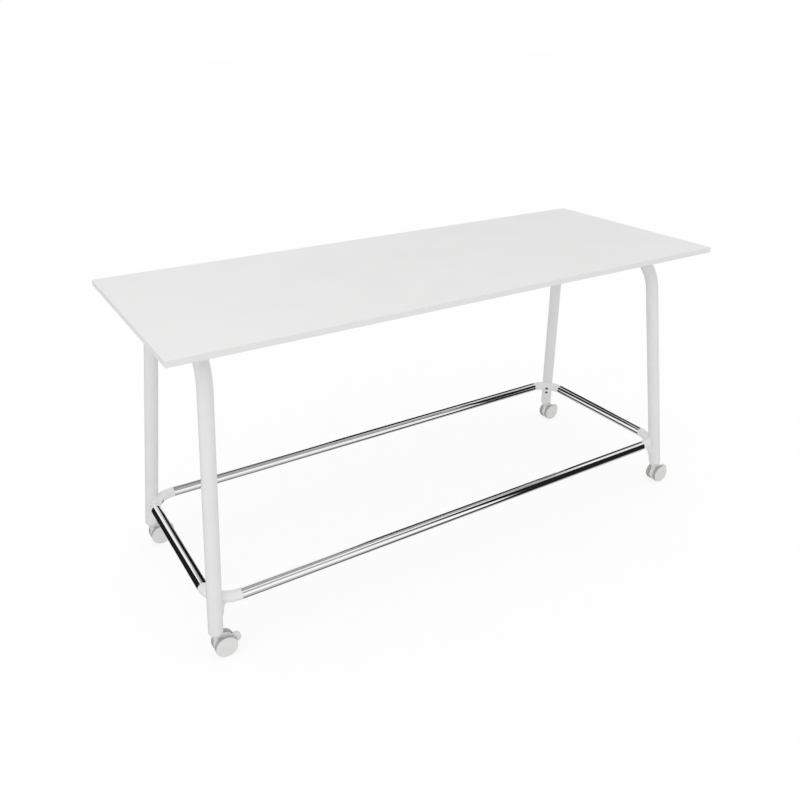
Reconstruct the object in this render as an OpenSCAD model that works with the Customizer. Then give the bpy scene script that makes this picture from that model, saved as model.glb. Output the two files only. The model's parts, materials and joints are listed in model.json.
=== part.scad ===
// Standing meeting table on castors: a white board on two leaning tube end frames,
// with a chrome footrest ring held by a cast bracket on each leg.
// Millimetres. The origin is on the floor under the middle of the top, +X runs along
// the table, +Y to its rear edge and +Z up.

/* [Top] */
// Length of the top, along X
top_l = 2000; // [1800:10:2400]
// Width of the top, along Y
top_w = 780; // [700:10:900]
// Height of the top face above the floor
top_h = 1000; // [900:5:1150]
// Thickness of the board
top_t = 18; // [16:1:30]
// Thickness of the edge bands
band_t = 2; // [1:0.5:3]
// Rounding along the edge bands
band_r = 1; // [0.25:0.25:1]
// Rounding of the top's upright corners
corner_r = 3; // [1:0.5:5]

/* [End frames] */
// Outer diameter of the leg tube
tube_d = 45; // [38:1:55]
// Wall of the leg tube
tube_wall = 2; // [1.5:0.5:4]
// Radius of the two bends, at the tube's axis
bend_r = 135; // [100:5:160]
// How much fuller the tube is in its bends, on the radius
bend_swell = 0.05; // [0.05:0.05:0.2]
// Lean of the legs along the table, in degrees
lean_x = 6; // [3:0.5:8]
// Lean of the legs across the table, in degrees
lean_y = 6; // [3:0.5:8]
// From the end of the top to the leg's axis at the floor
foot_in_x = 40.5; // [30:0.5:80]
// From the long edge of the top to the leg's axis at the floor
foot_in_y = 43.5; // [30:0.5:80]

/* [Under the top] */
// Thickness of the mount plates
plate_t = 4; // [3:0.5:6]
// Reach of the plates past the bar, outwards
plate_rim = 17; // [14:1:25]
// Reach of the plates past the bar, inwards
plate_in = 90; // [80:1:140]
// Rim of the plates on each side of the rail
plate_side = 15; // [12:1:25]
// Rounding of the plates' corners
plate_corner = 8; // [3:1:12]
// How deep the bar is let into the plates
plate_seat = 1; // [0.5:0.5:2]
// From the table's centreline to the middle of each rail
rail_y = 85; // [65:1:95]
// Width of the rails
rail_w = 40; // [30:1:50]
// Depth of the rails
rail_h = 25; // [20:1:50]
// Wall of the rails
rail_wall = 2; // [1.5:0.5:3]
// Rounding of the rails' long edges
rail_r = 4; // [3.5:0.5:6]
// Gap between the end frame's bar and the rail's end cap
rail_gap = 6; // [3:0.5:15]
// Thickness of the end caps' flanges
cap_t = 3; // [2:0.5:5]
// Depth of the end caps' plugs
cap_plug_l = 10; // [6:1:12]

/* [Screws] */
// Shank of the screws into the board
wood_d = 5; // [3.5:0.5:6]
// Shank length of the screws into the board
wood_l = 15; // [10:1:17]
// Head diameter of the screws into the board
wood_head_d = 9.5; // [7:0.5:12]
// Head height of the screws into the board
wood_head_h = 3; // [2:0.5:4]
// Shank of the countersunk rail screws
rail_screw_d = 6; // [4:1:8]
// Head diameter of the countersunk rail screws
rail_head_d = 11; // [9:0.5:13]
// Head height of the countersunk rail screws
rail_head_h = 2.5; // [2:0.25:2.75]
// Length of the rail screws
rail_screw_l = 14; // [10:1:18]
// First rail screw, from the rail's end
rail_screw_in = 20; // [17:1:28]
// Distance between the two rail screws of one end
rail_screw_pitch = 35; // [20:1:40]

/* [Footrest] */
// Diameter of the footrest tubes
rest_d = 35; // [30:1:40]
// Wall of the footrest tubes
rest_wall = 1.5; // [1:0.5:3]
// Height of the footrest's axis
rest_z = 190; // [180:5:300]
// How far the footrest's lines pass outside the legs' axes
rest_out = 6.5; // [2:0.5:10]
// Bend radius of the corner elbows, at their axis
elbow_r = 88; // [75:1:105]
// Length of the spigots that plug into the tubes
spigot_l = 30; // [15:1:50]

/* [Corner brackets] */
// Length of the tongue on the leg, below the footrest's axis
tongue_l = 66; // [55:1:80]
// Width of the tongue
tongue_w = 38; // [30:1:42]
// Thickness of the tongue at the elbow
tongue_root = 15.5; // [10:0.5:17]
// Thickness of the tongue at its tip
tongue_tip = 1.5; // [1:0.5:4]
// Radius of the flares from the tongue to the elbow
flare_r = 20; // [14:1:24]
// Thickness of the flares, outwards from under the elbow's axis
flare_t = 10; // [7:1:12]
// How far the flares run up into the elbow
flare_sink = 8.5; // [7.5:0.5:10]
// Shank of the bracket bolts
bolt_d = 6; // [5:1:8]
// Head diameter of the bracket bolts
bolt_head_d = 10; // [9:0.5:13]
// Head height of the bracket bolts
bolt_head_h = 5; // [3:0.5:6]
// Distance from the upper bolt to the lower one
bolt_pitch = 30; // [26:1:38]
// How far the upper bolt's head is sunk below the elbow's face
bolt_sink = 1.5; // [0.5:0.5:4]
// Outer diameter of the threaded sleeves set in the leg
sleeve_d = 9; // [9:0.5:11]
// Length of the threaded sleeves, inwards from the leg's face
sleeve_l = 14; // [10:1:16]
// Diameter of the collar that grips the leg's wall from inside
sleeve_collar_d = 12; // [11:0.5:14]
// Thickness of that collar
sleeve_collar_t = 3; // [2:0.5:5]

/* [Castors] */
// Diameter of the wheels
wheel_d = 70; // [60:1:80]
// Width of one wheel
wheel_w = 15.5; // [12:0.5:18]
// Distance between the two wheels of a castor
wheel_gap = 20; // [17:0.5:24]
// From the stem's axis back to the axle
trail = 22; // [20:1:27]
// Thickness of the tyres
tyre_t = 4; // [3:0.5:6]
// Thickness of the wheels' outer flanges
flange_t = 2; // [1.5:0.5:3]
// How far the tyre stands out past the flange
tyre_proud = 0.5; // [0.25:0.25:1]
// Rounding of the wheels' and tyres' edges
wheel_edge = 1; // [0.5:0.25:1.25]
// Thickness of the wheels' rim and disc
wheel_wall = 3; // [2:0.5:4]
// Thickness of the wheels' face in front of the axle's end
face_t = 3; // [2:0.5:5]
// Radius of the wheels' hub
hub_r = 8; // [7:0.5:10]
// Diameter of the axle
axle_d = 8; // [6:0.5:9]
// Diameter of the stem
stem_d = 10; // [8:0.5:11]
// How far the stem reaches up into the leg's socket
stem_up = 30; // [15:1:38]
// How far the stem reaches down into the castor's body
stem_down = 28; // [20:1:32]
// Radius of the stem's thrust collar
thrust_r = 8; // [7:0.5:10]
// Thickness of the stem's thrust collar
thrust_t = 1.5; // [1:0.5:2]
// How far the body's web stays inside the tread
web_margin = 2; // [1.5:0.5:6]
// Rounding of the web's rim
web_edge = 3; // [1:0.5:4]
// Diameter of the body's neck at its top
neck_top_d = 22; // [18:0.5:23]
// Height of the cone under the neck's top
neck_cone_h = 7; // [6:0.5:9]

/* [Leg sockets] */
// Room between the wheels' tops and the socket's lower face
wheel_room = 1; // [0.75:0.25:4]
// Height of the socket's cone below the tube
cone_h = 19; // [15:1:30]
// Diameter of the cone's lower end
cone_low_d = 24; // [20:1:26]
// Length of the socket's plug inside the tube
plug_l = 45; // [42:1:70]

/* [Brake pedals] */
// Pivot, from the axle along the table
pedal_pivot_x = 15.5; // [13:0.5:16]
// Pivot, above the axle
pedal_pivot_z = 18.5; // [17:0.5:19]
// Diameter of the pivot pin
pedal_pin_d = 4; // [3:0.5:5]
// Thickness of the pedal's arm
pedal_arm_t = 6; // [4:0.5:7]
// Depth of the pedal's arm
pedal_arm_h = 9; // [8:0.5:10]
// Length of the pedal's arm
pedal_arm_l = 25; // [22:1:28]
// Rounding of the pedal's pad, seen from the side
pad_r = 14.5; // [13:0.5:16]
// Middle of that rounding, from the axle along the table
pad_x = 40.5; // [38:0.5:42]
// Middle of that rounding, above the axle
pad_z = 10.5; // [8:0.5:12]
// Width of the pad
pad_w = 24; // [16:1:28]
// Rounding of the pad's corners, seen from above
pad_corner = 6; // [3:1:7]
// Room between the tread and the pad
pad_room = 4; // [3.5:0.5:6]
// How far the pad reaches below the axle
pad_low = 2; // [0:0.5:3]

/* [Clearances] */
// Radial play of the turning fits
run_gap = 0.05; // [0.02:0.01:0.1]
// Play of pieces that are fixed in one another
fit_gap = 0.1; // [0.05:0.05:0.2]
// Gap between a turning face and its neighbour
face_gap = 0.3; // [0.2:0.1:0.5]
// Gap between the castor's web and each wheel
web_gap = 0.5; // [0.5:0.25:1.5]

/* [Hidden] */
$fn = 64;

// Corners of the table: name, side along X, side along Y
CORNERS = [["fl", -1, -1], ["fr", 1, -1], ["rl", -1, 1], ["rr", 1, 1]];
CASTOR_PIECES = ["stem", "body", "axle", "wheel_a", "wheel_b", "tyre_a", "tyre_b", "pedal"];

// Colours
WHITE = "#f2f2f0";
LACQUER = "#e8e8e6";
CHROME = "#c8ccd0";
STEEL = "#9aa0a6";
DARK = "#2c2c2e";
PALE_GREY = "#d8d8d4";
TREAD_GREY = "#96968f";

// The top and the end frames
under_z = top_h - top_t;
tube_r = tube_d / 2;
foot_x = top_l / 2 - foot_in_x;
foot_y = top_w / 2 - foot_in_y;
function leg_x(z) = foot_x - z * tan(lean_x);
function leg_y(z) = foot_y - z * tan(lean_y);
bar_z = under_z - plate_t + plate_seat - tube_r;
bar_x = leg_x(bar_z);
lean_in_plane = atan(tan(lean_y) * cos(lean_x));
lean_all = atan(norm([tan(lean_x), tan(lean_y)]));
lean_heading = atan2(-tan(lean_y), -tan(lean_x));
bend_a = 90 - lean_in_plane;
bend_drop = bend_r * (1 - cos(bend_a));
bar_half = leg_y(bar_z) + bend_drop * tan(lean_in_plane) - bend_r * sin(bend_a);
bend_end_y = bar_half + bend_r * sin(bend_a);
bend_lap = sqrt(bend_swell * bend_r) / 2;

// The castors and the leg ends
wheel_r = wheel_d / 2;
socket_low_z = wheel_d + wheel_room;
leg_end_z = socket_low_z + cone_h;
stem_x = leg_x(leg_end_z);
stem_y = leg_y(leg_end_z);
frame_drop = (bar_z - leg_end_z) / cos(lean_x);
leg_l = (frame_drop - bend_drop) / cos(lean_in_plane) + tube_d;
web_t = wheel_gap - 2 * web_gap;
web_r = wheel_r - web_margin;
neck_top_z = socket_low_z - thrust_t - face_gap;
neck_low_z = neck_top_z - neck_cone_h;
stem_low_z = neck_top_z - stem_down;
tyre_in_r = wheel_r - tyre_t;
tyre_w = wheel_w - flange_t;
bore_depth = wheel_w - face_t;

// The footrest ring
rest_x = leg_x(rest_z) + rest_out;
rest_y = leg_y(rest_z) + rest_out;
rest_half_x = rest_x - elbow_r;
rest_half_y = rest_y - elbow_r;
elbow_face = elbow_r * (sqrt(2) - 1) - rest_out * sqrt(2) + rest_d / 2;
lower_face = tube_r + tongue_tip + (tongue_root - tongue_tip) * (1 - bolt_pitch / tongue_l);
flare_top = rest_d / 2 - flare_sink;
flare_w = 0.75 * flare_r;
flare_lap = tongue_w / 20;
bolt_faces = [[0, elbow_face - bolt_sink], [-bolt_pitch, lower_face]];
bolt_reach = tube_r - sleeve_l;
collar_face = sqrt(pow(tube_r - tube_wall, 2) - pow(sleeve_collar_d / 2, 2)) - fit_gap;
sleeve_face = sqrt(pow(tube_r, 2) - pow(sleeve_d / 2, 2));

// The rails and plates under the top
plate_low_z = under_z - plate_t;
plate_w = rail_w + 2 * plate_side;
rail_end = bar_x - tube_r - rail_gap - cap_t;
screw_y = rail_w / 2 + plate_side / 2;
wood_xs = [bar_x + tube_r + plate_rim / 2, rail_end - rail_screw_in - rail_screw_pitch / 2];
rail_screw_xs = [rail_end - rail_screw_in, rail_end - rail_screw_in - rail_screw_pitch];

// A length that reaches past the whole table, for cutting
beyond = 2 * top_l;

// Copies what stands at the corner +X +Y to another corner
module at_corner(c)
    mirror([c[1] < 0 ? 1 : 0, 0, 0])
        mirror([0, c[2] < 0 ? 1 : 0, 0])
            children();

// Places a child on the leg's axis at a height: +Z up the leg, +X to the table's middle
module on_leg(z)
    translate([leg_x(z), leg_y(z), z])
        rotate([0, 0, lean_heading])
            rotate([0, lean_all, 0])
                children();

// A straight pin along +X from a start to an end
module pin_x(from, to, d)
    translate([from, 0, 0])
        rotate([0, 90, 0])
            cylinder(d = d, h = to - from);

// A rectangle with round corners, about its middle
module round_rect(x, y, r) {
    square([x - 2 * r, y], center = true);
    square([x, y - 2 * r], center = true);
    for (sx = [-1, 1], sy = [-1, 1])
        translate([sx * (x / 2 - r), sy * (y / 2 - r)])
            circle(r = r);
}

module within_top()
    intersection() {
        children();
        translate([0, 0, under_z])
            linear_extrude(top_t)
                round_rect(top_l, top_w, corner_r);
    }

// Section of an edge band: X outwards from the board, Y up
module band_section() {
    square([band_t - band_r, top_t]);
    translate([0, band_r])
        square([band_t, top_t - 2 * band_r]);
    for (y = [band_r, top_t - band_r])
        translate([band_t - band_r, y])
            circle(r = band_r);
}

// An edge band along the rear (+Y) edge of a board of half width reach
module edge_band(reach, length)
    translate([length / 2, reach - band_t, under_z])
        rotate([90, 0, -90])
            mirror([1, 0, 0])
                linear_extrude(length)
                    band_section();

module at_wood_screws()
    for (sx = [-1, 1], sy = [-1, 1], x = wood_xs, dy = [-screw_y, screw_y])
        translate([sx * x, sy * rail_y + dy, plate_low_z])
            children();

module top_board()
    color(WHITE)
        difference() {
            within_top()
                translate([0, 0, under_z + top_t / 2])
                    cube([top_l - 2 * band_t, top_w - 2 * band_t, top_t], center = true);
            at_wood_screws()
                cylinder(d = wood_d + 2 * fit_gap, h = wood_l + face_gap);
        }

module edge_band_rear()
    color(WHITE)
        within_top()
            edge_band(top_w / 2, top_l);

module edge_band_front()
    color(WHITE)
        mirror([0, 1, 0])
            within_top()
                edge_band(top_w / 2, top_l);

module edge_band_right()
    color(WHITE)
        within_top()
            rotate([0, 0, -90])
                edge_band(top_l / 2, top_w - 2 * band_t);

module edge_band_left()
    color(WHITE)
        within_top()
            rotate([0, 0, 90])
                edge_band(top_l / 2, top_w - 2 * band_t);

// Half of an end frame's tube at a diameter, in the frame's own plane: Y along the bar,
// Z up, the bar's axis at the origin. The straight lengths run a little into the bend.
module frame_half(d) {
    rotate([-90, 0, 0])
        cylinder(d = d, h = bar_half + bend_lap);
    translate([0, bar_half, -bend_r])
        rotate([0, -90, 0])
            rotate_extrude(angle = bend_a)
                translate([bend_r, 0])
                    circle(d = d + 2 * bend_swell);
    translate([0, bend_end_y, -bend_drop])
        rotate([180 + lean_in_plane, 0, 0])
            translate([0, 0, -bend_lap])
                cylinder(d = d, h = leg_l + bend_lap);
}

module frame_sweep(d)
    translate([bar_x, 0, bar_z])
        rotate([0, -lean_x, 0]) {
            frame_half(d);
            mirror([0, 1, 0])
                frame_half(d);
        }

// The end frame on the +X side, its legs cut level above the castors
module end_frame()
    difference() {
        frame_sweep(tube_d);
        frame_sweep(tube_d - 2 * tube_wall);
        translate([0, 0, leg_end_z - beyond / 2])
            cube(beyond, center = true);
        for (sy = [0, 1])
            mirror([0, sy, 0])
                on_leg(rest_z)
                    for (b = bolt_faces)
                        translate([0, 0, b[0]])
                            pin_x(0, tube_d, sleeve_d + 2 * fit_gap);
    }

module end_frame_right()
    color(LACQUER)
        end_frame();

module end_frame_left()
    color(LACQUER)
        mirror([1, 0, 0])
            end_frame();

// The two plates of the +X end frame, grooved over its bar
module mount_plates()
    for (sy = [-1, 1])
        difference() {
            translate([bar_x + (plate_rim - plate_in) / 2, sy * rail_y, plate_low_z])
                linear_extrude(plate_t)
                    round_rect(plate_in + tube_d + plate_rim, plate_w, plate_corner);
            translate([bar_x, 0, bar_z])
                rotate([90, 0, 0])
                    cylinder(r = tube_r + fit_gap, h = top_w, center = true);
            at_wood_screws()
                cylinder(d = wood_d + 2 * fit_gap, h = plate_t);
            at_rail_screws()
                rail_screw(fit_gap);
        }

module mount_plates_right()
    color(STEEL)
        mount_plates();

module mount_plates_left()
    color(STEEL)
        mirror([1, 0, 0])
            mount_plates();

module at_rail_screws()
    for (sx = [-1, 1], sy = [-1, 1], x = rail_screw_xs)
        translate([sx * x, sy * rail_y, under_z])
            children();

// A countersunk screw hanging from its flat face, grown all round by play
module rail_screw(play) {
    translate([0, 0, -rail_screw_l])
        cylinder(d = rail_screw_d + 2 * play, h = rail_screw_l);
    translate([0, 0, -rail_head_h])
        cylinder(d1 = rail_screw_d + 2 * play, d2 = rail_head_d + 2 * play, h = rail_head_h);
}

// The rails' outline shrunk all round by inset
module rail_outline(inset)
    round_rect(rail_w - 2 * inset, rail_h - 2 * inset, rail_r - min(inset, rail_wall));

module under_rail(sy)
    color(LACQUER)
        difference() {
            translate([-rail_end, sy * rail_y, plate_low_z - rail_h / 2])
                rotate([90, 0, 90])
                    linear_extrude(2 * rail_end)
                        difference() {
                            rail_outline(0);
                            rail_outline(rail_wall);
                        }
            at_rail_screws()
                rail_screw(fit_gap);
        }

module rail_end_caps()
    color(DARK)
        for (sx = [0, 1], sy = [-1, 1])
            mirror([sx, 0, 0])
                translate([rail_end, sy * rail_y, plate_low_z - rail_h / 2])
                    rotate([90, 0, 90]) {
                        linear_extrude(cap_t)
                            rail_outline(0);
                        translate([0, 0, -cap_plug_l])
                            linear_extrude(cap_plug_l)
                                rail_outline(rail_wall + fit_gap);
                    }

module top_screws()
    color(STEEL)
        at_wood_screws() {
            cylinder(d = wood_d, h = wood_l);
            translate([0, 0, -wood_head_h])
                cylinder(d = wood_head_d, h = wood_head_h);
        }

module rail_screws()
    color(STEEL)
        at_rail_screws()
            rail_screw(0);

module rest_tube(length)
    color(CHROME)
        rotate([0, 90, 0])
            difference() {
                cylinder(d = rest_d, h = length, center = true);
                cylinder(d = rest_d - 2 * rest_wall, h = length + rest_d, center = true);
            }

module footrest_rear()
    translate([0, rest_y, rest_z])
        rest_tube(2 * rest_half_x);

module footrest_front()
    translate([0, -rest_y, rest_z])
        rest_tube(2 * rest_half_x);

module footrest_right()
    translate([rest_x, 0, rest_z])
        rotate([0, 0, 90])
            rest_tube(2 * rest_half_y);

module footrest_left()
    translate([-rest_x, 0, rest_z])
        rotate([0, 0, 90])
            rest_tube(2 * rest_half_y);

// The elbow that carries the ring round one leg, with a spigot at each end
module elbow()
    translate([rest_half_x, rest_half_y, rest_z]) {
        rotate_extrude(angle = 90)
            translate([elbow_r, 0])
                circle(d = rest_d);
        translate([elbow_r, 0, 0])
            rotate([90, 0, 0])
                cylinder(d = rest_d - 2 * rest_wall - 2 * fit_gap, h = spigot_l);
        translate([0, elbow_r, 0])
            rotate([0, -90, 0])
                cylinder(d = rest_d - 2 * rest_wall - 2 * fit_gap, h = spigot_l);
    }

// The tongue below the elbow, thinning down the leg to a round tip
module tongue()
    intersection() {
        translate([0, 0, -tongue_l])
            cylinder(r1 = tube_r + tongue_tip, r2 = tube_r + tongue_root, h = tongue_l);
        rotate([90, 0, 90])
            linear_extrude(tube_d + tongue_root) {
                translate([-tongue_w / 2, tongue_w / 2 - tongue_l])
                    square([tongue_w, tongue_l - tongue_w / 2]);
                translate([0, tongue_w / 2 - tongue_l])
                    circle(d = tongue_w);
            }
    }

// Outline of the flares on both sides of the tongue, in the tongue's own frame
module flare_outline()
    for (side = [0, 1])
        mirror([side, 0])
            difference() {
                translate([tongue_w / 2 - flare_lap, -flare_top - flare_r])
                    square([flare_w + flare_lap, flare_r]);
                translate([tongue_w / 2 + flare_r, -flare_top - flare_r])
                    circle(r = flare_r);
            }

// The flares follow the elbow's curve under its outer half
module flares()
    intersection() {
        translate([rest_half_x, rest_half_y, rest_z - rest_d - flare_r])
            rotate_extrude(angle = 90)
                translate([elbow_r, 0])
                    square([flare_t, rest_d + flare_r]);
        on_leg(rest_z)
            rotate([90, 0, 90])
                linear_extrude(tube_d + rest_d)
                    flare_outline();
    }

module corner_bracket(c)
    color(LACQUER)
        at_corner(c)
            difference() {
                union() {
                    elbow();
                    flares();
                    on_leg(rest_z)
                        tongue();
                }
                on_leg(rest_z)
                    cylinder(r = tube_r + fit_gap, h = beyond, center = true);
                on_leg(rest_z)
                    for (b = bolt_faces)
                        translate([0, 0, b[0]]) {
                            pin_x(0, b[1], bolt_d + 2 * fit_gap);
                            pin_x(b[1] - bolt_head_h, b[1] + rest_d, bolt_head_d + 2 * fit_gap);
                        }
            }

module bracket_bolts()
    color(DARK)
        for (c = CORNERS)
            at_corner(c)
                on_leg(rest_z)
                    for (b = bolt_faces)
                        translate([0, 0, b[0]]) {
                            pin_x(bolt_reach, b[1] - bolt_head_h, bolt_d);
                            pin_x(b[1] - bolt_head_h, b[1], bolt_head_d);
                        }

// The threaded sleeves in the legs, each with its collar behind the tube's wall
module leg_sleeves()
    color(STEEL)
        for (c = CORNERS)
            at_corner(c)
                on_leg(rest_z)
                    for (b = bolt_faces)
                        translate([0, 0, b[0]])
                            difference() {
                                union() {
                                    pin_x(bolt_reach, collar_face, sleeve_d);
                                    pin_x(collar_face - sleeve_collar_t, collar_face, sleeve_collar_d);
                                    pin_x(collar_face, sleeve_face, sleeve_d);
                                }
                                pin_x(0, tube_d, bolt_d + 2 * fit_gap);
                            }

module leg_socket(c)
    color(PALE_GREY)
        at_corner(c)
            difference() {
                union() {
                    difference() {
                        on_leg(leg_end_z)
                            translate([0, 0, -tube_d])
                                cylinder(r = tube_r - tube_wall - fit_gap, h = plug_l + tube_d);
                        translate([stem_x, stem_y, leg_end_z - beyond / 2])
                            cube(beyond, center = true);
                    }
                    translate([stem_x, stem_y, socket_low_z])
                        cylinder(d1 = cone_low_d, d2 = tube_d, h = cone_h);
                }
                translate([stem_x, stem_y, socket_low_z])
                    cylinder(d = stem_d + 2 * fit_gap, h = cone_h + stem_up + face_gap);
            }

// Places a castor's piece, drawn with its stem's axis on Z, the floor at zero and the
// wheels trailing to +X
module at_castor(c)
    translate([c[1] * stem_x, c[2] * stem_y, 0])
        children();

// The axle's middle, with the axle's line on Z and +Y up
module at_axle()
    translate([trail, 0, wheel_r])
        rotate([90, 0, 0])
            children();

module castor_stem(c)
    color(STEEL)
        at_castor(c) {
            translate([0, 0, stem_low_z])
                cylinder(d = stem_d, h = socket_low_z + cone_h + stem_up - stem_low_z);
            translate([0, 0, socket_low_z - thrust_t])
                cylinder(r = thrust_r, h = thrust_t);
        }

// The body's web in half section: X from the axle, Y across the castor
module web_section() {
    translate([0, -web_t / 2])
        square([web_r - web_edge, web_t]);
    translate([0, web_edge - web_t / 2])
        square([web_r, web_t - 2 * web_edge]);
    for (side = [-1, 1])
        translate([web_r - web_edge, side * (web_t / 2 - web_edge)])
            circle(r = web_edge);
}

module castor_body(c)
    color(PALE_GREY)
        at_castor(c)
            difference() {
                union() {
                    at_axle()
                        rotate_extrude()
                            web_section();
                    translate([0, -web_t / 2, wheel_r])
                        cube([trail, web_t, neck_low_z - wheel_r]);
                    translate([0, 0, wheel_r])
                        cylinder(d = web_t, h = neck_low_z - wheel_r);
                    translate([0, 0, neck_low_z])
                        cylinder(d1 = web_t, d2 = neck_top_d, h = neck_cone_h);
                }
                translate([0, 0, stem_low_z - face_gap])
                    cylinder(d = stem_d + 2 * run_gap, h = stem_down + beyond);
                at_axle()
                    cylinder(d = axle_d + 2 * fit_gap, h = wheel_gap, center = true);
                at_axle()
                    translate([pedal_pivot_x, pedal_pivot_z, 0])
                        cylinder(d = pedal_pin_d + 2 * run_gap, h = wheel_gap, center = true);
                at_axle()
                    pedal_slot();
            }

// Room in the web for the pedal's arm to swing down
module pedal_slot()
    translate([
        pedal_pivot_x - pedal_arm_h / 2 - face_gap,
        pedal_pivot_z - pedal_arm_h,
        -pedal_arm_t / 2 - face_gap
    ])
        cube([beyond, beyond, pedal_arm_t + 2 * face_gap]);

module castor_axle(c)
    color(STEEL)
        at_castor(c)
            at_axle()
                cylinder(d = axle_d, h = wheel_gap + 2 * (bore_depth - face_gap), center = true);

// A wheel's place: side -1 is the wheel to the front, 1 the one to the rear
module at_wheel(side)
    translate([trail, side * wheel_gap / 2, wheel_r])
        rotate([-90 * side, 0, 0])
            children();

// A wheel in half section: X from the axle, Y from its inner face to its outer one
module wheel_section() {
    flange_r = wheel_r - tyre_proud;
    rim_r = tyre_in_r - fit_gap;
    bore_r = axle_d / 2 + run_gap;
    difference() {
        polygon([
            [0, wheel_w], [flange_r, wheel_w], [flange_r, tyre_w + fit_gap], [rim_r, tyre_w + fit_gap],
            [rim_r, 0], [rim_r - wheel_wall, 0], [rim_r - wheel_wall, wheel_w - wheel_wall],
            [hub_r, wheel_w - wheel_wall], [hub_r, 0], [bore_r, 0], [bore_r, bore_depth], [0, bore_depth]
        ]);
        translate([flange_r - wheel_edge, wheel_w - wheel_edge])
            difference() {
                square(2 * wheel_edge);
                circle(r = wheel_edge);
            }
    }
}

// A tyre in half section, its tread rounded to both sides
module tyre_section() {
    translate([tyre_in_r, 0])
        square([tyre_t - wheel_edge, tyre_w]);
    translate([tyre_in_r, wheel_edge])
        square([tyre_t, tyre_w - 2 * wheel_edge]);
    for (y = [wheel_edge, tyre_w - wheel_edge])
        translate([wheel_r - wheel_edge, y])
            circle(r = wheel_edge);
}

module castor_wheel(c, side)
    color(PALE_GREY)
        at_castor(c)
            at_wheel(side)
                rotate_extrude()
                    wheel_section();

module castor_tyre(c, side)
    color(TREAD_GREY)
        at_castor(c)
            at_wheel(side)
                rotate_extrude()
                    tyre_section();

// The pedal's pad from the side: a round cut away clear of the tread
module pad_section()
    difference() {
        translate([pad_x, pad_z])
            circle(r = pad_r);
        circle(r = wheel_r + pad_room);
        translate([-wheel_d, -wheel_d - pad_low])
            square([2 * wheel_d, wheel_d]);
    }

module castor_pedal(c)
    color(PALE_GREY)
        at_castor(c)
            at_axle() {
                intersection() {
                    linear_extrude(pad_w, center = true)
                        pad_section();
                    rotate([90, 0, 0])
                        linear_extrude(wheel_d, center = true)
                            translate([pad_x + pad_r + fit_gap - wheel_r, 0])
                                round_rect(wheel_d, pad_w, pad_corner);
                }
                linear_extrude(pedal_arm_t, center = true) {
                    translate([pedal_pivot_x, pedal_pivot_z])
                        circle(d = pedal_arm_h);
                    translate([pedal_pivot_x, pedal_pivot_z - pedal_arm_h / 2])
                        square([pedal_arm_l, pedal_arm_h]);
                }
                translate([pedal_pivot_x, pedal_pivot_z, 0])
                    cylinder(d = pedal_pin_d, h = web_t, center = true);
            }

top_board();
edge_band_front();
edge_band_rear();
edge_band_left();
edge_band_right();
end_frame_left();
end_frame_right();
mount_plates_left();
mount_plates_right();
under_rail(-1);  // under_rail_front
under_rail(1);  // under_rail_rear
rail_end_caps();
top_screws();
rail_screws();
footrest_front();
footrest_rear();
footrest_left();
footrest_right();
bracket_bolts();
leg_sleeves();
for (c = CORNERS) {
    corner_bracket(c);
    leg_socket(c);
    castor_stem(c);
    castor_body(c);
    castor_axle(c);
    castor_wheel(c, -1);
    castor_wheel(c, 1);
    castor_tyre(c, -1);
    castor_tyre(c, 1);
    castor_pedal(c);
}
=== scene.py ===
import itertools
import json
import math

import bpy
from mathutils import Matrix, Vector


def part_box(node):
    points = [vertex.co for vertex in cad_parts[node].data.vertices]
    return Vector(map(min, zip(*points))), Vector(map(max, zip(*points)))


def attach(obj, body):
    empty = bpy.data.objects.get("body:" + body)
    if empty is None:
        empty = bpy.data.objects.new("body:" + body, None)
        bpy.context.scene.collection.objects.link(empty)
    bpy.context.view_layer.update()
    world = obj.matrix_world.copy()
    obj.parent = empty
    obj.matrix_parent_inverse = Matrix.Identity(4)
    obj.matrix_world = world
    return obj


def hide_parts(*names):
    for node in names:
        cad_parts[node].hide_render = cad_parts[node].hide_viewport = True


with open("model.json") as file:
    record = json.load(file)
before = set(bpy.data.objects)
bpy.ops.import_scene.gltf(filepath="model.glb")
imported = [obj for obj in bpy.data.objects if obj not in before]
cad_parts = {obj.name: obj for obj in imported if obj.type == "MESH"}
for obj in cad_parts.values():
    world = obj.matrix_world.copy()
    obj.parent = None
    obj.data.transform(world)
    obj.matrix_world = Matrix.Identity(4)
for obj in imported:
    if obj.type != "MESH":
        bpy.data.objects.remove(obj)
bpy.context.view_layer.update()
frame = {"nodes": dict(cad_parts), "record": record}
nodes = frame["nodes"]
print("frame loaded:", len(nodes), "nodes")

corners = {"fl": (-1, -1), "fr": (1, -1), "rl": (-1, 1), "rr": (1, 1)}


def wire(tree, start, end):
    tree.links.new(start, end)


def addNode(tree, kind, **settings):
    node = tree.nodes.new(kind)
    for name, value in settings.items():
        setattr(node, name, value)
    return node


def maths(tree, operation, first, second=None):  # numbers and sockets alike
    node = addNode(tree, "ShaderNodeMath", operation=operation)
    for slot, value in enumerate((first, second)):
        if isinstance(value, bpy.types.NodeSocket):
            wire(tree, value, node.inputs[slot])
        elif value is not None:
            node.inputs[slot].default_value = value
    return node.outputs[0]


def blend(tree, mask, first, second):  # a colour between two, by a mask
    node = addNode(tree, "ShaderNodeMix", data_type="RGBA")
    wire(tree, mask, node.inputs["Factor"])
    for name, value in (("A", first), ("B", second)):
        socket = [s for s in node.inputs if s.name == name and s.type == "RGBA"][0]
        if isinstance(value, bpy.types.NodeSocket):
            wire(tree, value, socket)
        else:
            socket.default_value = value
    return [s for s in node.outputs if s.type == "RGBA"][0]


def grey(level):
    return (level, level, level, 1)


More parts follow.
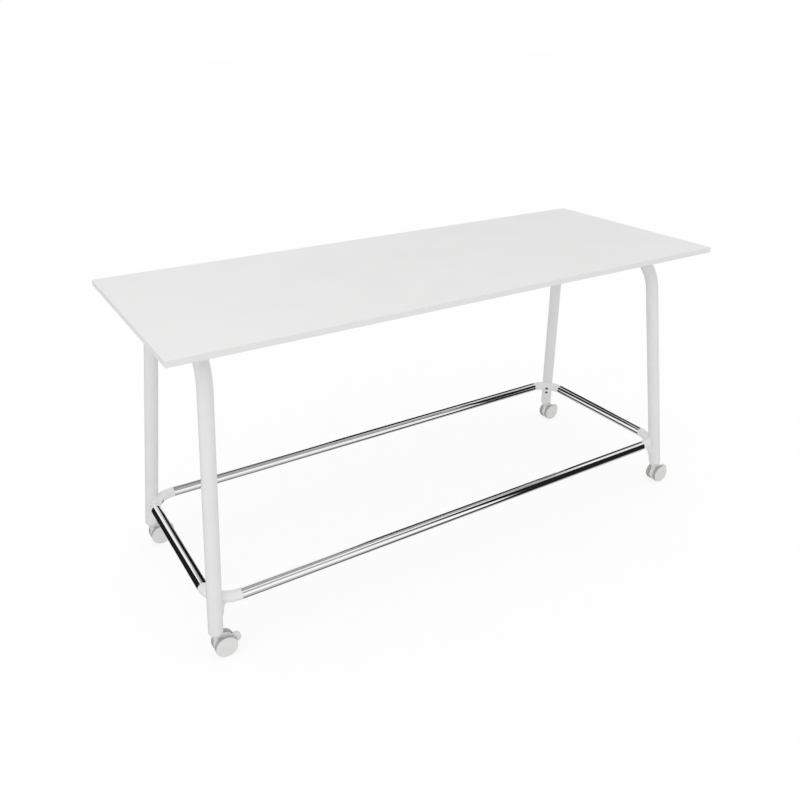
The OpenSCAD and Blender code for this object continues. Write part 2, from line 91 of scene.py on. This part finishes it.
def newGroup(name, inputs, outputs):
    group = bpy.data.node_groups.new(name, "ShaderNodeTree")
    for title, start in inputs.items():
        socket = group.interface.new_socket(title, in_out="INPUT", socket_type="NodeSocketFloat")
        socket.default_value = start
    for title in outputs:
        group.interface.new_socket(title, in_out="OUTPUT", socket_type="NodeSocketFloat")
    return group, addNode(group, "NodeGroupInput"), addNode(group, "NodeGroupOutput")


def placeGroup(tree, group, values):
    node = addNode(tree, "ShaderNodeGroup", node_tree=group)
    for title, value in values.items():
        if isinstance(value, bpy.types.NodeSocket):
            wire(tree, value, node.inputs[title])
        else:
            node.inputs[title].default_value = value
    return node


# Camera: the photograph's own standpoint

view = {
    "place": (-1.4294, -2.1563, 1.7375),
    "turn": (64.061, 0.0, -31.878),  # degrees
    "lens": 35.0,  # millimetres on a 36 mm sensor
    "sensor": 36.0,
    "reach": 100.0,
}


def addCamera():
    lens = bpy.data.cameras.new("camera")
    lens.lens = view["lens"]
    lens.sensor_width = view["sensor"]
    lens.clip_end = view["reach"]
    camera = bpy.data.objects.new("camera", lens)
    camera.location = view["place"]
    camera.rotation_euler = [math.radians(angle) for angle in view["turn"]]
    bpy.context.scene.collection.objects.link(camera)
    bpy.context.scene.camera = camera


addCamera()
print("camera set")


# Studio: a pale floor, an even sky with one weak key, and dark cards that the chrome mirrors

studio = {
    "floorSize": 80.0,  # metres
    "floorBounce": 0.90,  # how pale the floor is for the light it throws back
    "floorShade": 0.24,  # how strongly the camera sees the shadow on it
    "skyLevel": 0.885,
    "keyPower": 11.0,  # watts
    "keyPlace": (-2.6, -2.0, 3.2),
    "keySize": 2.4,
}

cards = [  # what the chrome mirrors, in degrees: from, to, low, high, and how bright
    {"azimuth": (-180, 180), "elevation": (51, 92), "level": 0.45},
    {"azimuth": (-180, 180), "elevation": (55, 68), "level": 1.0},
    {"azimuth": (-180, 180), "elevation": (-92, -20), "level": 0.55},
    {"azimuth": (-180, 180), "elevation": (-92, -60), "level": 0.36},
    {"azimuth": (-180, -52), "elevation": (26, 49), "level": 0.42},
    {"azimuth": (-42, -24), "elevation": (30, 52), "level": 0.014},
    {"azimuth": (-56, -30), "elevation": (-74, 50), "level": 0.015},
    {"azimuth": (22, 81), "elevation": (28, 80), "level": 0.28},
    {"azimuth": (37, 67), "elevation": (-15, 65), "level": 0.003},
    {"azimuth": (75, 140), "elevation": (39, 54), "level": 0.166},
    {"azimuth": (115, 139), "elevation": (19, 57), "level": 0.002},
    {"azimuth": (79, 139), "elevation": (-44, 26), "level": 0.013},
    {"azimuth": (138, 182), "elevation": (-92, -13), "level": 0.05},
    {"azimuth": (140, 182), "elevation": (26, 57), "level": 0.15},
]
cardSoftness = 1.5  # degrees over which a card's edge fades


def seenDirectly(tree):  # 1 for camera, glossy and transmission rays
    path = addNode(tree, "ShaderNodeLightPath")
    either = maths(tree, "MAXIMUM", path.outputs["Is Camera Ray"], path.outputs["Is Glossy Ray"])
    return maths(tree, "MAXIMUM", either, path.outputs["Is Transmission Ray"])


def openLevel():  # the light on open level ground, under the table's middle
    toKey = Vector(studio["keyPlace"])
    spread = math.pi * toKey.length_squared
    return studio["skyLevel"] + studio["keyPower"] / spread * toKey.normalized().z / math.pi


def addFloor():
    bpy.ops.object.select_all(action="DESELECT")
    bpy.ops.mesh.primitive_plane_add(size=studio["floorSize"], location=(0, 0, 0))
    floor = bpy.context.object
    floor.name = "studioFloor"
    floor.visible_glossy = False
    paint = bpy.data.materials.new("studioFloor")
    paint.use_nodes = True
    tree = paint.node_tree
    tree.nodes.clear()
    out = addNode(tree, "ShaderNodeOutputMaterial")
    bounce = addNode(tree, "ShaderNodeBsdfDiffuse")
    bounce.inputs["Color"].default_value = grey(studio["floorBounce"])
    shade = addNode(tree, "ShaderNodeBsdfDiffuse")
    shade.inputs["Color"].default_value = grey(studio["floorShade"])
    glow = addNode(tree, "ShaderNodeEmission")
    glow.inputs["Strength"].default_value = 1 - studio["floorShade"] * openLevel()
    seen = addNode(tree, "ShaderNodeAddShader")
    wire(tree, shade.outputs[0], seen.inputs[0])
    wire(tree, glow.outputs[0], seen.inputs[1])
    pick = addNode(tree, "ShaderNodeMixShader")
    wire(tree, seenDirectly(tree), pick.inputs["Fac"])
    wire(tree, bounce.outputs[0], pick.inputs[1])
    wire(tree, seen.outputs[0], pick.inputs[2])
    wire(tree, pick.outputs[0], out.inputs["Surface"])
    floor.data.materials.append(paint)


def cardGroup():  # 1 inside a stretch of the sky, 0 outside it
    group, given, made = newGroup(
        "studioCard",
        {"Azimuth": 0, "Elevation": 0, "Left": 0, "Right": 0, "Low": 0, "High": 0, "Softness": 1},
        ["Mask"],
    )
    mask = 1.0
    for name, low, high in (("Azimuth", "Left", "Right"), ("Elevation", "Low", "High")):
        angle = given.outputs[name]
        for start, end in ((given.outputs[low], angle), (angle, given.outputs[high])):
            inside = maths(group, "SUBTRACT", end, start)
            ramp = maths(group, "DIVIDE", inside, given.outputs["Softness"])
            ramp = maths(group, "ADD", ramp, 0.5)  # half way at the card's edge
            ramp = maths(group, "MAXIMUM", ramp, 0.0)
            mask = maths(group, "MULTIPLY", maths(group, "MINIMUM", ramp, 1.0), mask)
    wire(group, mask, made.inputs["Mask"])
    return group


def addSky():
    world = bpy.data.worlds.new("studioSky")
    bpy.context.scene.world = world
    world.use_nodes = True
    tree = world.node_tree
    tree.nodes.clear()
    toward = addNode(tree, "ShaderNodeTexCoord").outputs["Generated"]
    axes = addNode(tree, "ShaderNodeSeparateXYZ")
    wire(tree, toward, axes.inputs[0])
    azimuth = maths(tree, "ARCTAN2", axes.outputs["Y"], axes.outputs["X"])
    azimuth = maths(tree, "DEGREES", azimuth)
    elevation = maths(tree, "DEGREES", maths(tree, "ARCSINE", axes.outputs["Z"]))
    group = cardGroup()
    mirrored = grey(1.0)
    for card in cards:
        values = {"Azimuth": azimuth, "Elevation": elevation, "Softness": cardSoftness}
        values["Left"], values["Right"] = card["azimuth"]
        values["Low"], values["High"] = card["elevation"]
        mask = placeGroup(tree, group, values).outputs["Mask"]
        mirrored = blend(tree, mask, mirrored, grey(card["level"]))
    path = addNode(tree, "ShaderNodeLightPath")
    seen = blend(tree, path.outputs["Is Glossy Ray"], grey(1.0), mirrored)
    white = addNode(tree, "ShaderNodeBackground")
    wire(tree, seen, white.inputs["Color"])
    light = addNode(tree, "ShaderNodeBackground")
    light.inputs["Color"].default_value = grey(1.0)
    light.inputs["Strength"].default_value = studio["skyLevel"]
    pick = addNode(tree, "ShaderNodeMixShader")
    wire(tree, seenDirectly(tree), pick.inputs["Fac"])
    wire(tree, light.outputs[0], pick.inputs[1])
    wire(tree, white.outputs[0], pick.inputs[2])
    out = addNode(tree, "ShaderNodeOutputWorld")
    wire(tree, pick.outputs[0], out.inputs["Surface"])


def addKey():
    lamp = bpy.data.lights.new("keyLight", "AREA")
    lamp.energy = studio["keyPower"]
    lamp.size = studio["keySize"]
    key = bpy.data.objects.new("keyLight", lamp)
    key.location = studio["keyPlace"]
    key.rotation_euler = Vector(studio["keyPlace"]).to_track_quat("Z", "Y").to_euler()
    key.visible_glossy = False
    bpy.context.scene.collection.objects.link(key)


addFloor()
addSky()
addKey()
bpy.context.scene.view_settings.view_transform = "Standard"
print("studio built")


# Finishes

grainForm = {"fineDetail": 3.0, "broadDetail": 4.0, "patchLow": 0.3, "patchHigh": 0.7}
lineForm = {"scale": 1.0, "detail": 4.0}


def grainGroup():  # fine stipple for the bump, broad patches for tone and gloss
    group, given, made = newGroup("grain", {"Fine Scale": 900, "Broad Scale": 9}, ["Height", "Patch"])
    place = addNode(group, "ShaderNodeTexCoord").outputs["Object"]
    fine = addNode(group, "ShaderNodeTexNoise")
    broad = addNode(group, "ShaderNodeTexNoise")
    for noise, scale, detail in ((fine, "Fine Scale", "fineDetail"), (broad, "Broad Scale", "broadDetail")):
        noise.inputs["Detail"].default_value = grainForm[detail]
        wire(group, place, noise.inputs["Vector"])
        wire(group, given.outputs[scale], noise.inputs["Scale"])
    spread = addNode(group, "ShaderNodeMapRange")
    spread.inputs["From Min"].default_value = grainForm["patchLow"]
    spread.inputs["From Max"].default_value = grainForm["patchHigh"]
    wire(group, broad.outputs["Fac"], spread.inputs["Value"])
    wire(group, fine.outputs["Fac"], made.inputs["Height"])
    wire(group, spread.outputs["Result"], made.inputs["Patch"])
    return group


def linesGroup():  # long fine lines, stretched along one axis
    group, given, made = newGroup("polishLines", {"Along X": 1, "Along Y": 1, "Along Z": 1}, ["Lines"])
    place = addNode(group, "ShaderNodeTexCoord").outputs["Object"]
    stretch = addNode(group, "ShaderNodeCombineXYZ")
    for slot, axis in enumerate(("Along X", "Along Y", "Along Z")):
        wire(group, given.outputs[axis], stretch.inputs[slot])
    scaled = addNode(group, "ShaderNodeVectorMath", operation="MULTIPLY")
    wire(group, place, scaled.inputs[0])
    wire(group, stretch.outputs[0], scaled.inputs[1])
    noise = addNode(group, "ShaderNodeTexNoise")
    noise.inputs["Scale"].default_value = lineForm["scale"]
    noise.inputs["Detail"].default_value = lineForm["detail"]
    wire(group, scaled.outputs[0], noise.inputs["Vector"])
    wire(group, noise.outputs["Fac"], made.inputs["Lines"])
    return group


grain = grainGroup()
polishLines = linesGroup()


def newFinish(name, look):
    finish = bpy.data.materials.new(name)
    finish.use_nodes = True
    tree = finish.node_tree
    shader = tree.nodes["Principled BSDF"]
    for title in ("Metallic", "IOR", "Specular IOR Level", "Coat Weight", "Coat Roughness"):
        if title in look:
            shader.inputs[title].default_value = look[title]
    mix = placeGroup(tree, grain, {"Fine Scale": look["fine"], "Broad Scale": look["broad"]})
    patch = mix.outputs["Patch"]
    colour = blend(tree, patch, (*look["tone"], 1), (*look["tone2"], 1))
    if "below" in look:  # painted shade: what lies under a height is given a darker colour for glossy rays only, so it is in shade where the chrome mirrors it
        place = addNode(tree, "ShaderNodeSeparateXYZ")
        wire(tree, addNode(tree, "ShaderNodeTexCoord").outputs["Object"], place.inputs[0])
        under = maths(tree, "LESS_THAN", place.outputs["Z"], look["below"])
        mirrored = addNode(tree, "ShaderNodeLightPath").outputs["Is Glossy Ray"]
        colour = blend(tree, maths(tree, "MULTIPLY", under, mirrored), colour, (*look["paintedShade"], 1))
    wire(tree, colour, shader.inputs["Base Color"])
    gloss = addNode(tree, "ShaderNodeMapRange")
    gloss.inputs["To Min"].default_value, gloss.inputs["To Max"].default_value = look["rough"]
    wire(tree, patch, gloss.inputs["Value"])
    wire(tree, gloss.outputs["Result"], shader.inputs["Roughness"])
    bump = addNode(tree, "ShaderNodeBump")
    bump.inputs["Strength"].default_value = look["bump"]
    bump.inputs["Distance"].default_value = look["depth"]
    if "lines" in look:
        stretch = dict(zip(("Along X", "Along Y", "Along Z"), look["lines"]))
        lines = placeGroup(tree, polishLines, stretch)
        wire(tree, lines.outputs["Lines"], bump.inputs["Height"])
    else:
        wire(tree, mix.outputs["Height"], bump.inputs["Height"])
    wire(tree, bump.outputs["Normal"], shader.inputs["Normal"])
    return finish


finishes = {
    "top_laminate": {
        "tone": (0.899, 0.899, 0.894), "tone2": (0.908, 0.908, 0.904), "rough": (0.55, 0.64),
        "fine": 1400, "broad": 5, "bump": 0.12, "depth": 0.00008, "Specular IOR Level": 0.25,
        # painted shade: below this height the board is drawn mid grey where the chrome mirrors it, and
        # stays white otherwise
        "below": 0.98205, "paintedShade": (0.500, 0.500, 0.496),
    },
    "edge_band": {
        "tone": (0.832, 0.832, 0.827), "tone2": (0.850, 0.850, 0.845), "rough": (0.55, 0.64),
        "fine": 2200, "broad": 30, "bump": 0.15, "depth": 0.00006, "Specular IOR Level": 0.12,
    },
    "frame_paint": {
        "tone": (0.830, 0.830, 0.827), "tone2": (0.850, 0.850, 0.846), "rough": (0.34, 0.44),
        "fine": 1000, "broad": 14, "bump": 0.20, "depth": 0.00012,
    },
    "rail_paint": {
        "tone": (0.790, 0.790, 0.787), "tone2": (0.812, 0.812, 0.808), "rough": (0.36, 0.46),
        "fine": 1000, "broad": 12, "bump": 0.20, "depth": 0.00012,
    },
    "bracket_cast": {
        "tone": (0.858, 0.858, 0.855), "tone2": (0.878, 0.878, 0.874), "rough": (0.36, 0.48),
        "fine": 620, "broad": 40, "bump": 0.28, "depth": 0.00018,
    },
    "socket_plastic": {
        "tone": (0.790, 0.790, 0.785), "tone2": (0.812, 0.812, 0.806), "rough": (0.38, 0.50),
        "fine": 1600, "broad": 60, "bump": 0.15, "depth": 0.00008,
    },
    "castor_plastic": {
        "tone": (0.815, 0.815, 0.800), "tone2": (0.838, 0.838, 0.824), "rough": (0.30, 0.42),
        "fine": 1800, "broad": 60, "bump": 0.12, "depth": 0.00008,
    },
    "tread_rubber": {
        "tone": (0.410, 0.410, 0.395), "tone2": (0.475, 0.475, 0.460), "rough": (0.55, 0.75),
        "fine": 1300, "broad": 90, "bump": 0.35, "depth": 0.00015,
    },
    "cap_plastic": {
        "tone": (0.030, 0.030, 0.031), "tone2": (0.045, 0.045, 0.046), "rough": (0.45, 0.60),
        "fine": 1600, "broad": 60, "bump": 0.20, "depth": 0.0001,
    },
    "zinc_steel": {
        "tone": (0.560, 0.570, 0.585), "tone2": (0.660, 0.665, 0.670), "rough": (0.30, 0.46),
        "fine": 900, "broad": 120, "bump": 0.15, "depth": 0.00008, "Metallic": 1.0,
    },
    "dark_steel": {
        "tone": (0.190, 0.190, 0.193), "tone2": (0.240, 0.239, 0.238), "rough": (0.36, 0.52),
        "fine": 1400, "broad": 150, "bump": 0.15, "depth": 0.00008, "Metallic": 1.0,
    },
}

chromeLook = {
    "tone": (0.905, 0.910, 0.915), "tone2": (0.920, 0.922, 0.925), "rough": (0.030, 0.055),
    "fine": 900, "broad": 16, "bump": 0.015, "depth": 0.00005, "Metallic": 1.0,
}
chromeLines = {"footrest_front": (6, 900, 900), "footrest_left": (900, 6, 900)}  # along the tube


def dressNodes():
    made = {slot: newFinish(slot, look) for slot, look in finishes.items()}
    chromes = {}
    for name, lines in chromeLines.items():
        chromes[name] = newFinish("chrome_" + name, dict(chromeLook, lines=lines))
    slotOf = {row["node"]: row["material_slot"] for row in frame["record"]["subparts"]}
    for name, piece in nodes.items():
        slot = slotOf[name]
        if slot == "chrome_tube":
            across = name in ("footrest_left", "footrest_right")
            finish = chromes["footrest_left" if across else "footrest_front"]
        else:
            finish = made[slot]
        piece.data.materials.clear()
        piece.data.materials.append(finish)
    return made


made = dressNodes()
print("nodes dressed")


# New pieces

making = {
    "mergeGap": 0.000002,  # between the corners of a CAD mesh's triangles
    "sameHeight": 0.000001,
    "smoothShare": 0.5,
    "smoothAngle": 35.0,  # degrees
    "sliverSize": 0.00003,
    "shankLap": 0.0005,  # how far a screw's shank grows into its head
    "shankSides": 32,
}


def pickOnly(piece):
    bpy.ops.object.select_all(action="DESELECT")
    piece.select_set(True)
    bpy.context.view_layer.objects.active = piece


def copyOfNode(node, name):  # a CAD mesh in an object of its own, its corners merged
    piece = bpy.data.objects.new(name, nodes[node].data.copy())
    bpy.context.scene.collection.objects.link(piece)
    pickOnly(piece)
    bpy.ops.object.mode_set(mode="EDIT")
    bpy.ops.mesh.select_all(action="SELECT")
    bpy.ops.mesh.remove_doubles(threshold=making["mergeGap"])
    bpy.ops.mesh.normals_make_consistent(inside=False)
    bpy.ops.object.mode_set(mode="OBJECT")
    return piece


def applyModifier(piece, kind, **settings):
    pickOnly(piece)
    modifier = piece.modifiers.new(kind.lower(), kind)
    for name, value in settings.items():
        setattr(modifier, name, value)
    bpy.ops.object.modifier_apply(modifier=modifier.name)


def soften(piece, form):  # a moulded or cast form's rounded edges and blends
    applyModifier(piece, "REMESH", mode="VOXEL", voxel_size=form["voxel"], use_smooth_shade=True)
    applyModifier(piece, "SMOOTH", factor=making["smoothShare"], iterations=form["rounds"])


def placedCopy(piece, name, place):  # a copy with its own mesh, moved by a matrix
    mesh = piece.data.copy()
    mesh.transform(place)
    if place.determinant() < 0:
        mesh.flip_normals()
    copy = bpy.data.objects.new(name, mesh)
    bpy.context.scene.collection.objects.link(copy)
    return copy


def setIn(piece, slot, body, *replaced):
    piece.data.materials.clear()
    piece.data.materials.append(made[slot])
    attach(piece, body)
    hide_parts(*replaced)


def discard(piece):
    bpy.data.objects.remove(piece)


def bevelRim(piece, height, width, steps):  # rounds the edges that lie at one height
    pickOnly(piece)
    bpy.ops.object.mode_set(mode="EDIT")
    bpy.ops.mesh.select_all(action="DESELECT")
    bpy.ops.object.mode_set(mode="OBJECT")
    points = piece.data.vertices
    for edge in piece.data.edges:
        edge.select = all(abs(points[v].co.z - height) < making["sameHeight"] for v in edge.vertices)
    bpy.ops.object.mode_set(mode="EDIT")
    bpy.ops.mesh.select_mode(type="EDGE")
    bpy.ops.mesh.bevel(offset=width, segments=steps, affect="EDGES")
    bpy.ops.object.mode_set(mode="OBJECT")


def cutAway(piece, tool):
    applyModifier(piece, "BOOLEAN", operation="DIFFERENCE", object=tool, solver="MANIFOLD")
    discard(tool)


def clearSlivers(piece):  # thin faces that a cut leaves along its edge
    pickOnly(piece)
    bpy.ops.object.mode_set(mode="EDIT")
    bpy.ops.mesh.select_all(action="SELECT")
    bpy.ops.mesh.quads_convert_to_tris()
    bpy.ops.mesh.remove_doubles(threshold=making["sliverSize"])
    bpy.ops.mesh.dissolve_degenerate(threshold=making["sliverSize"])
    bpy.ops.mesh.quads_convert_to_tris()
    bpy.ops.mesh.delete_loose()
    bpy.ops.object.mode_set(mode="OBJECT")


def sharpCorners(piece):  # smooth shading, but for true corners
    pickOnly(piece)
    bpy.ops.object.shade_smooth_by_angle(angle=math.radians(making["smoothAngle"]))


def newHead(form, middle):  # a screw head's blank
    bpy.ops.object.select_all(action="DESELECT")
    bpy.ops.mesh.primitive_cylinder_add(
        vertices=form["headSides"], radius=form["headRadius"], depth=form["headHeight"],
        location=(0, 0, middle))
    bpy.ops.object.transform_apply()
    return bpy.context.object


def addShank(head, radius, top, bottom):  # grown into the head by a little
    high = top + making["shankLap"]
    middle = (high + bottom) / 2
    bpy.ops.object.select_all(action="DESELECT")
    bpy.ops.mesh.primitive_cylinder_add(
        vertices=making["shankSides"], radius=radius, depth=high - bottom, location=(0, 0, middle))
    shank = bpy.context.object
    bpy.ops.object.transform_apply()
    applyModifier(head, "BOOLEAN", operation="UNION", object=shank, solver="MANIFOLD")
    discard(shank)
    sharpCorners(head)


# Corner brackets: the casting's edges rounded, its tongue blended into the elbow, its screws sunk

bracketForm = {
    "voxel": 0.0009, "rounds": 9, "rodSides": 160,
    "core": 0.0222, "saddle": 0.02253, "low": -0.074, "high": 0.026,  # along the leg, from the footrest
    "flareRounds": 30, "flareSide": 0.012, "flareLow": -0.040, "flareHigh": -0.0165,
    "flareEnd": -0.0305, "flareReach": 0.0050,
    "tongueReach": 0.0382, "tongueTaper": 0.212,  # the tongue's face at the footrest, and how it thins
}
socketScrew = {
    "headRadius": 0.0065, "headHeight": 0.005, "headSides": 48, "rim": 0.0008, "rimSteps": 3,
    "keyRadius": 0.0035, "keyDepth": 0.0035, "keySides": 6,
    "shankRadius": 0.003, "shankEnd": 0.0085,  # from the leg's axis
    "sinkRadius": 0.0069, "sinkReach": 0.02, "sinkSides": 64,
    "heads": [(0.0, 0.0430), (-0.030, 0.0306)],  # up the leg from the footrest, out from the axis
}
leg = {"lean": 6.0, "footX": 0.9595, "footY": 0.3465, "restHeight": 0.190}


def legLines(sideX, sideY):  # where the footrest meets a leg, the way up it, and the way in from it
    slope = math.tan(math.radians(leg["lean"]))
    run = leg["restHeight"] * slope
    side = Vector((sideX, sideY, 1))
    middle = Vector((leg["footX"] - run, leg["footY"] - run, leg["restHeight"])) * side
    up = Vector((-slope, -slope, 1)).normalized() * side
    inward = Vector((-1, -1, -2 * slope)).normalized() * side
    return middle, up, inward


def screwPlace(sideX, sideY, rise, face):  # the head's face at the origin, looking along Z
    middle, up, inward = legLines(sideX, sideY)
    turn = inward.to_track_quat("Z", "Y").to_matrix().to_4x4()
    return Matrix.Translation(middle + rise * up + face * inward) @ turn


def legRod(radius, low, high):  # a rod along the front left leg
    middle, up, inward = legLines(-1, -1)
    bpy.ops.object.select_all(action="DESELECT")
    bpy.ops.mesh.primitive_cylinder_add(
        vertices=bracketForm["rodSides"], radius=radius, depth=high - low)
    rod = bpy.context.object
    turn = up.to_track_quat("Z", "Y").to_matrix().to_4x4()
    rod.data.transform(Matrix.Translation(middle + (low + high) / 2 * up) @ turn)
    return rod


def meltFlares(piece):  # the flares run out into the tongue's face
    form = bracketForm
    fromLeg = screwPlace(-1, -1, 0, 0)
    toLeg = fromLeg.inverted()
    near = []
    for point in piece.data.vertices:
        across, rise, inward = toLeg @ point.co
        if abs(across) < form["flareSide"] or not form["flareLow"] < rise < form["flareHigh"]:
            continue
        near.append(point.index)
        share = max(0.0, (rise - form["flareEnd"]) / (form["flareHigh"] - form["flareEnd"]))
        limit = form["tongueReach"] + form["tongueTaper"] * rise + form["flareReach"] * share
        pull = min(1.0, limit / math.hypot(across, inward))
        point.co = fromLeg @ Vector((across * pull, rise, inward * pull))
    piece.vertex_groups.new(name="flares").add(near, 1.0, "REPLACE")
    applyModifier(
        piece, "SMOOTH", factor=making["smoothShare"], iterations=form["flareRounds"],
        vertex_group="flares")
    piece.vertex_groups.clear()


def sinkScrews(piece):
    form = socketScrew
    depth = form["headHeight"] + form["sinkReach"]
    for rise, face in form["heads"]:
        bpy.ops.object.select_all(action="DESELECT")
        bpy.ops.mesh.primitive_cylinder_add(
            vertices=form["sinkSides"], radius=form["sinkRadius"], depth=depth)
        tool = bpy.context.object
        middle = form["sinkReach"] / 2 - form["headHeight"] / 2
        tool.data.transform(screwPlace(-1, -1, rise, face) @ Matrix.Translation((0, 0, middle)))
        cutAway(piece, tool)


def addBrackets():
    form = bracketForm
    first = copyOfNode("corner_bracket_fl", "castBracket")
    core = legRod(form["core"], form["low"], form["high"])  # keeps the saddle's thin edges whole
    pickOnly(first)
    core.select_set(True)
    bpy.ops.object.join()
    soften(first, form)
    meltFlares(first)
    cutAway(first, legRod(form["saddle"], 2 * form["low"], 2 * form["high"]))
    sinkScrews(first)
    clearSlivers(first)
    sharpCorners(first)
    for corner, (sideX, sideY) in corners.items():
        place = Matrix.Diagonal((-sideX, -sideY, 1, 1))
        piece = placedCopy(first, "castBracket_" + corner, place)
        setIn(piece, "bracket_cast", "table", "corner_bracket_" + corner)
    discard(first)


addBrackets()
print("brackets cast")


def newSocketScrew(length):
    form = socketScrew
    head = newHead(form, -form["headHeight"] / 2)
    bevelRim(head, 0.0, form["rim"], form["rimSteps"])
    bpy.ops.mesh.primitive_cylinder_add(
        vertices=form["keySides"], radius=form["keyRadius"], depth=2 * form["keyDepth"])
    cutAway(head, bpy.context.object)
    addShank(head, form["shankRadius"], -form["headHeight"], -length)
    return head


def addSocketScrews():
    for level, (rise, face) in enumerate(socketScrew["heads"]):
        first = newSocketScrew(face - socketScrew["shankEnd"])
        for corner, (sideX, sideY) in corners.items():
            place = screwPlace(sideX, sideY, rise, face)
            piece = placedCopy(first, "socketScrew_%s_%d" % (corner, level + 1), place)
            setIn(piece, "dark_steel", "table", "bracket_bolts")
        discard(first)


addSocketScrews()
print("socket screws set")


# Pan-head screws from the plates into the board

panScrew = {
    "headRadius": 0.00475, "headHeight": 0.003, "headSides": 40, "dome": 0.0017, "domeSteps": 4,
    "crossLength": 0.0048, "crossWidth": 0.0009, "crossDepth": 0.0014,
    "shankRadius": 0.0025, "shankLength": 0.015,
    "x": [0.88997, 0.78997], "y": [0.0575, 0.1125], "z": 0.978,
    "turnStep": 37.0,  # degrees from one screw's cross to the next
}


def newPanScrew():
    form = panScrew
    head = newHead(form, form["headHeight"] / 2)
    bevelRim(head, form["headHeight"], form["dome"], form["domeSteps"])
    for turn in (0, 90):
        bpy.ops.mesh.primitive_cube_add(
            size=1, location=(0, 0, form["headHeight"]), rotation=(0, 0, math.radians(turn)),
            scale=(form["crossLength"], form["crossWidth"], 2 * form["crossDepth"]))
        cutAway(head, bpy.context.object)
    addShank(head, form["shankRadius"], 0.0, -form["shankLength"])
    return head


def addPanScrews():
    first = newPanScrew()
    upsideDown = Matrix.Rotation(math.pi, 4, "X")
    spots = itertools.product((-1, 1), (-1, 1), panScrew["x"], panScrew["y"])
    for count, (sideX, sideY, x, y) in enumerate(spots):
        spot = Matrix.Translation((sideX * x, sideY * y, panScrew["z"]))
        turn = Matrix.Rotation(math.radians(count * panScrew["turnStep"]), 4, "Z")
        piece = placedCopy(first, "panScrew_%02d" % (count + 1), spot @ turn @ upsideDown)
        setIn(piece, "zinc_steel", "table", "top_screws")
    discard(first)


addPanScrews()
print("pan-head screws set")


# Castor bodies and brake pedals: moulded, with rounded edges

bodyForm = {"voxel": 0.0006, "rounds": 2}


def addCastorBodies():
    first = copyOfNode("castor_fl_body", "castorBody")
    soften(first, bodyForm)
    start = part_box("castor_fl_body")[0]
    for corner in corners:
        node = "castor_%s_body" % corner
        shift = Matrix.Translation(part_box(node)[0] - start)
        piece = placedCopy(first, "castorBody_" + corner, shift)
        setIn(piece, "castor_plastic", "castor_" + corner, node)
    discard(first)


pedalForm = {  # from the axle: along the table, and up
    "width": 0.018, "padRadius": 0.0145, "padSides": 96, "pad": (0.0379, 0.0075),
    "padEdge": 0.0030, "padSteps": 4, "padLow": -0.005, "cutReach": 0.1,
    "clearRadius": 0.0335, "clearSides": 128,
    "clearAbout": [(0, 0), (0.0034, -0.0024)],  # the web, from the pedal up and down
    "pivot": (0.0155, 0.0185), "armEnd": 0.037, "armLow": 0.014, "armHigh": 0.0205, "armWidth": 0.006,
    "bossRadius": 0.0045, "bossSides": 48, "pinRadius": 0.002, "pinLength": 0.019, "pinSides": 32,
    "voxel": 0.0005, "rounds": 6,
}


def crossRod(radius, length, spot, sides):  # a rod across the castor
    bpy.ops.object.select_all(action="DESELECT")
    bpy.ops.mesh.primitive_cylinder_add(vertices=sides, radius=radius, depth=length)
    rod = bpy.context.object
    rod.data.transform(Matrix.Translation((spot[0], 0, spot[1])) @ Matrix.Rotation(math.pi / 2, 4, "X"))
    return rod


def block(low, high):
    bpy.ops.object.select_all(action="DESELECT")
    middle = (Vector(low) + Vector(high)) / 2
    bpy.ops.mesh.primitive_cube_add(size=1, location=middle, scale=Vector(high) - Vector(low))
    bpy.ops.object.transform_apply()
    return bpy.context.object


def newPedal():
    form = pedalForm
    half = form["armWidth"] / 2
    bpy.ops.object.select_all(action="DESELECT")
    bpy.ops.mesh.primitive_cylinder_add(
        vertices=form["padSides"], radius=form["padRadius"], depth=form["width"])
    pad = bpy.context.object
    for end in (-0.5, 0.5):
        bevelRim(pad, end * form["width"], form["padEdge"], form["padSteps"])
    spot = Matrix.Translation((form["pad"][0], 0, form["pad"][1]))
    pad.data.transform(spot @ Matrix.Rotation(math.pi / 2, 4, "X"))
    for about in form["clearAbout"]:
        cutAway(pad, crossRod(form["clearRadius"], 2 * form["width"], about, form["clearSides"]))
    reach = form["cutReach"]
    cutAway(pad, block((-reach, -reach, -reach), (reach, reach, form["padLow"])))
    arm = block((form["pivot"][0], -half, form["armLow"]), (form["armEnd"], half, form["armHigh"]))
    boss = crossRod(form["bossRadius"], form["armWidth"], form["pivot"], form["bossSides"])
    pin = crossRod(form["pinRadius"], form["pinLength"], form["pivot"], form["pinSides"])
    pickOnly(pad)
    for part in (arm, boss, pin):
        part.select_set(True)
    bpy.ops.object.join()
    soften(pad, form)
    return pad


def addPedals():
    first = newPedal()
    for corner in corners:
        low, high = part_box("castor_%s_axle" % corner)
        piece = placedCopy(first, "brakePedal_" + corner, Matrix.Translation((low + high) / 2))
        setIn(piece, "castor_plastic", "pedal_" + corner, "castor_%s_pedal" % corner)
    discard(first)


addCastorBodies()
addPedals()
print("castors moulded")
